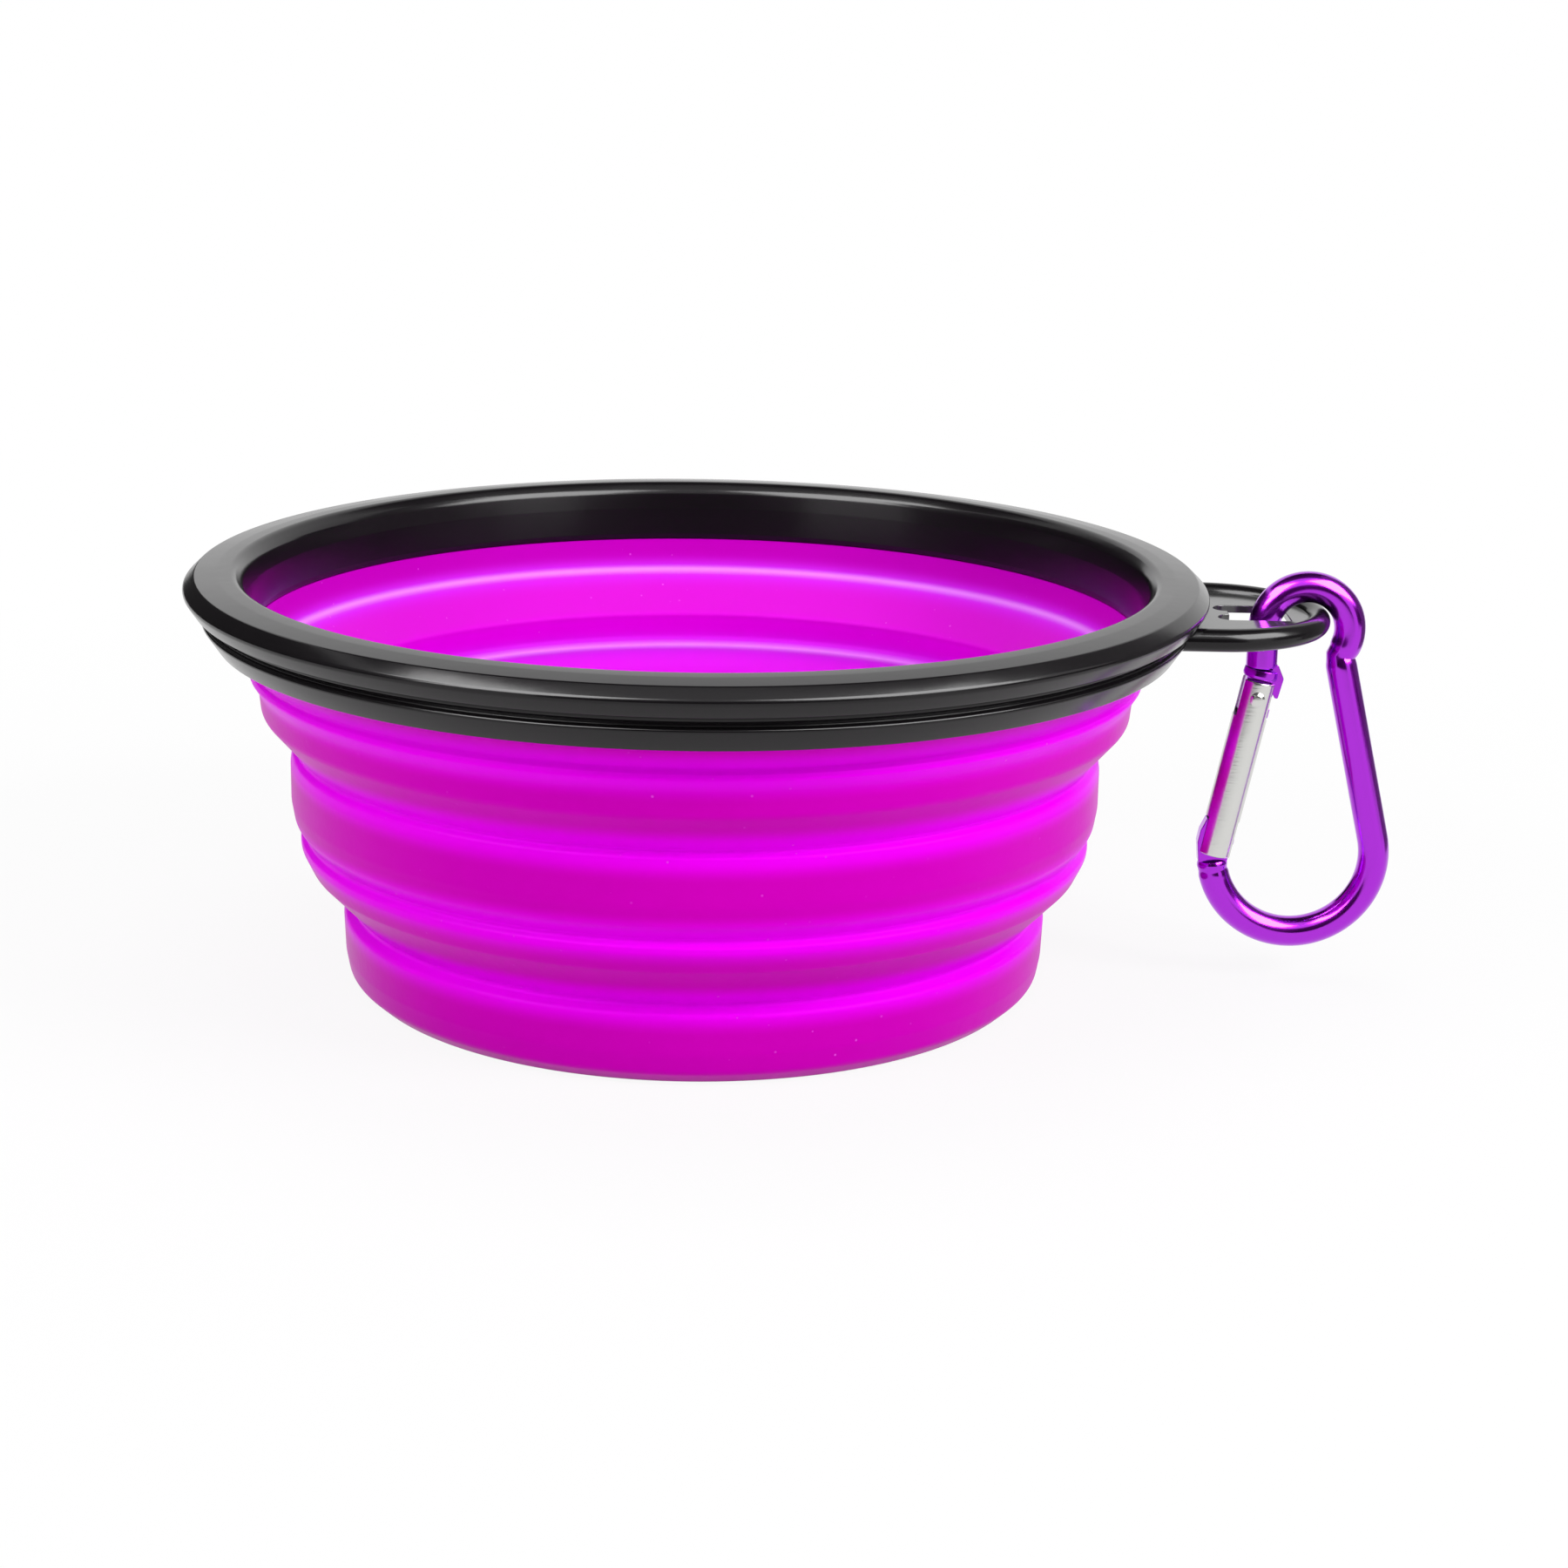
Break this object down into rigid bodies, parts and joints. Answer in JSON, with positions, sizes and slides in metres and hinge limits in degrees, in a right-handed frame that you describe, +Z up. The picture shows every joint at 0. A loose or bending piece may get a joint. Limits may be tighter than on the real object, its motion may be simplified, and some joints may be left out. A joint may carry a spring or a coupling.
{
  "type": "collapsible pet bowl",
  "caption": "Round folding silicone travel bowl that collapses flat, with a hard rim, a slotted hanging tab and a spring-gate snap hook.",
  "frame": {"origin": "centre of the flat foot, on the surface that the bowl stands on", "axes": "+Z up along the bowl's axis, +X along the hanging tab and towards the snap hook, +Y to the left of the tab seen from the bowl's centre"},
  "size_m": [0.1552, 0.13, 0.0543],
  "materials": {
    "silicone": "satin, slightly translucent",
    "rim_plastic": "satin gloss",
    "anodised": "gloss, dyed purple",
    "bright_metal": "polished",
    "pin_steel": "bright"
  },
  "bodies": {
    "rim": {"rim_top_ring": "rim_plastic", "rim_lower_ring": "rim_plastic", "bowl_collar": "silicone", "upper_fold": "silicone"},
    "band": {"middle_band": "silicone", "lower_fold": "silicone"},
    "cup": {"base_cup": "silicone"},
    "hook": {"carabiner_body": "anodised", "gate_hinge_pin": "pin_steel"},
    "gate": {"carabiner_gate": "bright_metal", "gate_latch_pin": "pin_steel", "gate_plunger": "pin_steel", "gate_spring": "pin_steel"}
  },
  "joints": [
    {"name": "upper_fold_slide", "type": "slide", "parent": "rim", "child": "band", "axis": [0, 0, 1], "range_m": [0, 0.021], "deforming": ["upper_fold"]},
    {"name": "lower_fold_slide", "type": "slide", "parent": "band", "child": "cup", "axis": [0, 0, 1], "range_m": [0, 0.0196], "deforming": ["lower_fold"]},
    {"name": "hook_swing", "type": "hinge", "parent": "rim", "child": "hook", "pos_m": [0.0777, 0, 0.04685], "axis": [0, -1, 0], "range_deg": [-25, 180]},
    {"name": "gate_hinge", "type": "hinge", "parent": "hook", "child": "gate", "pos_m": [0.06784, 0, 0.01897], "axis": [0, 1, 0], "range_deg": [0, 22], "stiffness_Nm_per_rad": 0.03, "springref_deg": -17.19}
  ]
}
